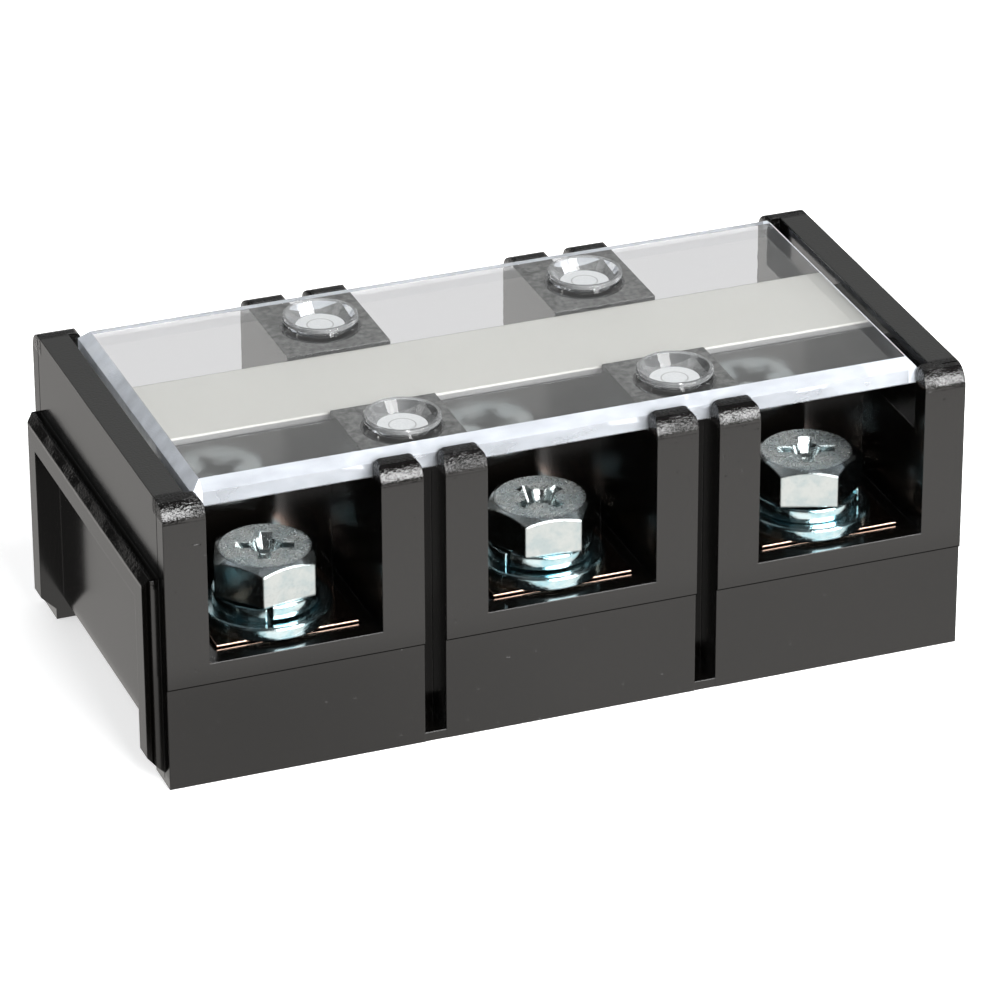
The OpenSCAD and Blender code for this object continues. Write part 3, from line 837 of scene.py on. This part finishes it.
def white_sweep(stage):
    """Pale floor that keeps the shadow. Gloss and clear plastic see it white, less what is flagged off."""
    finish = bpy.data.materials.new("white_sweep")
    finish.use_nodes = True
    tree = finish.node_tree
    tree.nodes.clear()
    net = Net(tree)
    ray = net.node("ShaderNodeLightPath")
    place = net.node("ShaderNodeTexCoord").of("Object")
    spot = net.node("ShaderNodeSeparateXYZ", None, {0: place})
    # Masks by place on the floor, from the strip's front left corner. The turn is 0 straight ahead and grows
    # to the left. The flag hides a sector on the left and the gap what lies far ahead; the near mask is
    # painted shadow, the strip's own shadow dimming what lies close in front and all that lies behind
    left = (CAD_BOX[0][0] + 0.001) - spot.of("X")
    ahead = CAD_BOX[0][1] - spot.of("Y")
    turn = net.maths("ARCTAN2", left, ahead)
    flag = net.step(turn, 0.02, 0.30) * (1.0 - net.step(turn, 1.45, 2.0))
    gap = net.step(ahead, 0.060, 0.072)
    near_shadow = (1.0 - net.step(ahead, 0.018, 0.024)) * (0.16 + net.step(left, -0.055, -0.01) * 0.18)
    hidden = net.maths("MAXIMUM", flag * 0.97, gap)
    behind = net.step(turn, 1.2, 1.6)
    shine = (1.0 - hidden) * (1.0 - near_shadow) * (stage.shine - behind * stage.shine_fall)
    matt = net.node("ShaderNodeBsdfDiffuse", None, {"Color": rgba(stage.floor)})
    glow = net.node(
        "ShaderNodeEmission", None, {"Color": (1, 1, 1, 1), "Strength": ray.of("Is Camera Ray") * 0.6})
    lit = net.node("ShaderNodeAddShader", None, {0: matt, 1: glow})
    through = ray.of("Is Transmission Ray")
    # A ray bent by clear plastic counts as glossy too, so the two are kept apart
    seen = through * 0.75 + (1.0 - through) * shine
    tone = net.blend(through, (1.0, 0.975, 0.945, 1), (1.0, 0.99, 1.0, 1))
    mirrored = net.node("ShaderNodeEmission", None, {"Color": tone, "Strength": seen})
    which = net.maths("MAXIMUM", ray.of("Is Glossy Ray"), through)
    both = net.node("ShaderNodeMixShader", None, {0: which, 1: lit, 2: mirrored})
    output = tree.nodes.new("ShaderNodeOutputMaterial")
    tree.links.new(both.socket, output.inputs["Surface"])
    return finish


def studio(stage):
    """Pale backdrop behind that darkens upwards, dim room in front, dim ceiling."""
    world = bpy.data.worlds.new("studio")
    world.use_nodes = True
    world.node_tree.nodes.clear()
    net = Net(world.node_tree)
    way = net.node("ShaderNodeSeparateXYZ", None, {0: net.node("ShaderNodeTexCoord").of("Generated")})
    up = way.of("Z")
    front_stops = [(stop, rgba((grey, grey, grey))) for stop, grey in DIM_FRONT]
    back_stops = [(stop, rgba(tone)) for stop, tone in PALE_BACK]
    front = net.node("ShaderNodeValToRGB", {"stops": front_stops}, {0: up})
    back = net.node("ShaderNodeValToRGB", {"stops": back_stops}, {0: up})
    rearward = net.step(way.of("Y"), -0.15, 0.25)
    sky = net.blend(rearward, front, back)
    ray = net.node("ShaderNodeLightPath")
    # Gloss that clear plastic doesn't bend sees a darker backdrop, darkest on the left
    mirror = ray.of("Is Glossy Ray") * (1.0 - ray.of("Is Transmission Ray"))
    lost = stage.veil_fall + (1.0 - net.step(way.of("X"), -0.35, 0.0)) * (0.95 - stage.veil_fall)
    strength = stage.ambient - mirror * rearward * lost
    glow = net.node("ShaderNodeBackground", None, {"Color": sky, "Strength": strength})
    output = world.node_tree.nodes.new("ShaderNodeOutputWorld")
    world.node_tree.links.new(glow.socket, output.inputs["Surface"])
    return world


class STRIP_OT_stage(bpy.types.Operator):
    """Set the floor, the light and the camera"""

    bl_idname = "strip.stage"
    bl_label = "Stage"

    def execute(self, context):
        scene = context.scene
        stage = scene.strip_stage
        data = bpy.data.meshes.new("floor")
        half = 8.0
        corners = [(-half, -half, 0), (half, -half, 0), (half, half, 0), (-half, half, 0)]
        data.from_pydata(corners, [], [(0, 1, 2, 3)])
        data.materials.append(white_sweep(stage))
        floor = bpy.data.objects.new("floor", data)
        floor.location.z = CAD_BOX[0][2] - 0.02 * MM
        scene.collection.objects.link(floor)

        softbox("key", *KEY_BOX, stage.key)
        softbox("fill", *FILL_BOX, stage.fill)
        scene.world = studio(stage)

        lens = bpy.data.cameras.new("camera")
        lens.sensor_width = 36.0
        lens.lens = stage.lens
        lens.clip_start = 0.01
        camera = bpy.data.objects.new("camera", lens)
        flat = math.cos(stage.elevation)
        forward = Vector((
            math.sin(stage.azimuth) * flat, math.cos(stage.azimuth) * flat, -math.sin(stage.elevation)))
        right = forward.cross(Vector((0, 0, 1))).normalized()
        up = right.cross(forward)
        c, s = math.cos(stage.roll), math.sin(stage.roll)
        right, up = c * right + s * up, c * up - s * right
        turn = Matrix((right, up, -forward)).transposed()
        camera.matrix_world = Matrix.Translation(Vector(stage.stand)) @ turn.to_4x4()
        scene.collection.objects.link(camera)
        scene.camera = camera
        scene.view_settings.view_transform = "Standard"
        return {"FINISHED"}


class STRIP_PT_panel(bpy.types.Panel):
    """Everything that the strip is made of"""

    bl_idname = "STRIP_PT_panel"
    bl_label = "Barrier terminal strip"
    bl_space_type = "VIEW_3D"
    bl_region_type = "UI"
    bl_category = "Terminal strip"

    def draw(self, context):
        for group in (context.scene.strip_look, context.scene.strip_sizes, context.scene.strip_stage):
            column = self.layout.column()
            for name in group.__annotations__:
                column.prop(group, name)
        for operator in OPERATORS:
            self.layout.operator(operator.bl_idname)


OPERATORS = (
    STRIP_OT_housing, STRIP_OT_cover, STRIP_OT_marker, STRIP_OT_plates,
    STRIP_OT_screws, STRIP_OT_spring_washers, STRIP_OT_flat_washers, STRIP_OT_stage,
)
GROUPS = (StripLook, StripSizes, StripStage)


def register():
    for made in (*GROUPS, *OPERATORS, STRIP_PT_panel):
        bpy.utils.register_class(made)
    bpy.types.Scene.strip_look = bpy.props.PointerProperty(type=StripLook)
    bpy.types.Scene.strip_sizes = bpy.props.PointerProperty(type=StripSizes)
    bpy.types.Scene.strip_stage = bpy.props.PointerProperty(type=StripStage)


def unregister():
    del bpy.types.Scene.strip_look
    del bpy.types.Scene.strip_sizes
    del bpy.types.Scene.strip_stage
    for made in reversed((*GROUPS, *OPERATORS, STRIP_PT_panel)):
        bpy.utils.unregister_class(made)


def main():
    register()
    for operator in OPERATORS:
        group, name = operator.bl_idname.split(".")
        getattr(getattr(bpy.ops, group), name)()


if __name__ == "__main__":
    main()
